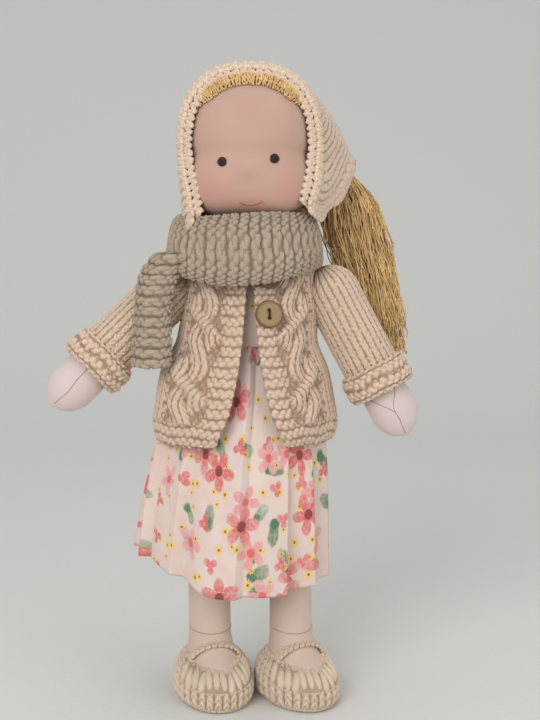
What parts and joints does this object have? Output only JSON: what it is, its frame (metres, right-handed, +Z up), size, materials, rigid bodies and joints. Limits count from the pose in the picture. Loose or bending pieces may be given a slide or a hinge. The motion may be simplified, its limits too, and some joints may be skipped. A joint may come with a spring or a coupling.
{
  "type": "waldorf doll",
  "caption": "Standing stuffed rag doll in a knitted hood, scarf, open cardigan and shoes over a pleated floral dress, with arms and legs sewn to move.",
  "frame": {"origin": "middle of the base of the doll's box, on the surface it stands on", "axes": "+Z up, the doll faces -Y, and its left side is at +X"},
  "size_m": [0.205, 0.0904, 0.3581],
  "materials": {
    "skin": "cotton jersey, pink beige",
    "wool_stuffing": "carded wool",
    "thread": "sewing thread",
    "dark_thread": "embroidery thread, dark brown",
    "mouth_thread": "embroidery thread, rose",
    "hair": "curled yarn, golden",
    "knit": "hand knit, cream peach",
    "scarf_knit": "garter knit, oatmeal",
    "dress": "printed cotton, small flowers on pale pink",
    "button_wood": "turned wood, satin"
  },
  "bodies": {
    "torso": {"torso_skin": "skin", "torso_filling": "wool_stuffing", "dress_bodice": "dress", "dress_skirt": "dress", "cardigan_back": "knit", "cardigan_front_left": "knit", "cardigan_front_right": "knit", "button_lower": "button_wood", "button_upper": "button_wood", "button_thread_lower": "dark_thread", "button_thread_upper": "dark_thread", "scarf_wrap": "scarf_knit", "scarf_tail": "scarf_knit"},
    "neck": {"neck_tie": "thread"},
    "head": {"head_skin": "skin", "head_filling": "wool_stuffing", "eye_line_thread": "thread", "eye_left": "dark_thread", "eye_right": "dark_thread", "mouth": "mouth_thread", "hair_cap": "hair", "hair_tie": "thread", "ponytail": "hair", "hood": "knit", "hood_edging": "knit"},
    "shoulder_left": {"arm_stitches_left": "thread"},
    "arm_left": {"arm_skin_left": "skin", "arm_filling_left": "wool_stuffing", "sleeve_left": "knit", "cuff_left": "knit"},
    "shoulder_right": {"arm_stitches_right": "thread"},
    "arm_right": {"arm_skin_right": "skin", "arm_filling_right": "wool_stuffing", "sleeve_right": "knit", "cuff_right": "knit"},
    "hips": {"hip_stitches": "thread"},
    "leg_left": {"leg_skin_left": "skin", "leg_filling_left": "wool_stuffing", "shoe_upper_left": "knit", "shoe_sole_left": "knit", "shoe_strap_left": "knit"},
    "leg_right": {"leg_skin_right": "skin", "leg_filling_right": "wool_stuffing", "shoe_upper_right": "knit", "shoe_sole_right": "knit", "shoe_strap_right": "knit"}
  },
  "joints": [
    {"name": "head_turn", "type": "hinge", "parent": "torso", "child": "neck", "pos_m": [0.00891, 0, 0.26], "axis": [0, 0, 1], "range_deg": [-30, 30], "deforming": ["ponytail"]},
    {"name": "head_nod", "type": "hinge", "parent": "neck", "child": "head", "pos_m": [0.00891, 0, 0.26], "axis": [1, 0, 0], "range_deg": [-8, 8]},
    {"name": "arm_left_swing", "type": "hinge", "parent": "torso", "child": "shoulder_left", "pos_m": [0.05452, 0, 0.232], "axis": [-1, 0, 0], "range_deg": [-20, 100]},
    {"name": "arm_left_raise", "type": "hinge", "parent": "shoulder_left", "child": "arm_left", "pos_m": [0.05452, 0, 0.232], "axis": [0, -1, 0], "range_deg": [0, 60]},
    {"name": "arm_right_swing", "type": "hinge", "parent": "torso", "child": "shoulder_right", "pos_m": [-0.03669, 0, 0.232], "axis": [-1, 0, 0], "range_deg": [-20, 100], "deforming": ["scarf_tail"]},
    {"name": "arm_right_raise", "type": "hinge", "parent": "shoulder_right", "child": "arm_right", "pos_m": [-0.03669, 0, 0.232], "axis": [0, 1, 0], "range_deg": [-8, 42]},
    {"name": "hips_fold", "type": "hinge", "parent": "torso", "child": "hips", "pos_m": [0.00891, 0, 0.138], "axis": [-1, 0, 0], "range_deg": [0, 80], "deforming": ["dress_skirt"]},
    {"name": "leg_left_swing", "type": "hinge", "parent": "hips", "child": "leg_left", "pos_m": [0.03241, 0, 0.138], "axis": [-1, 0, 0], "range_deg": [-10, 10]},
    {"name": "leg_right_swing", "type": "hinge", "parent": "hips", "child": "leg_right", "pos_m": [-0.01459, 0, 0.138], "axis": [-1, 0, 0], "range_deg": [-10, 10]}
  ]
}
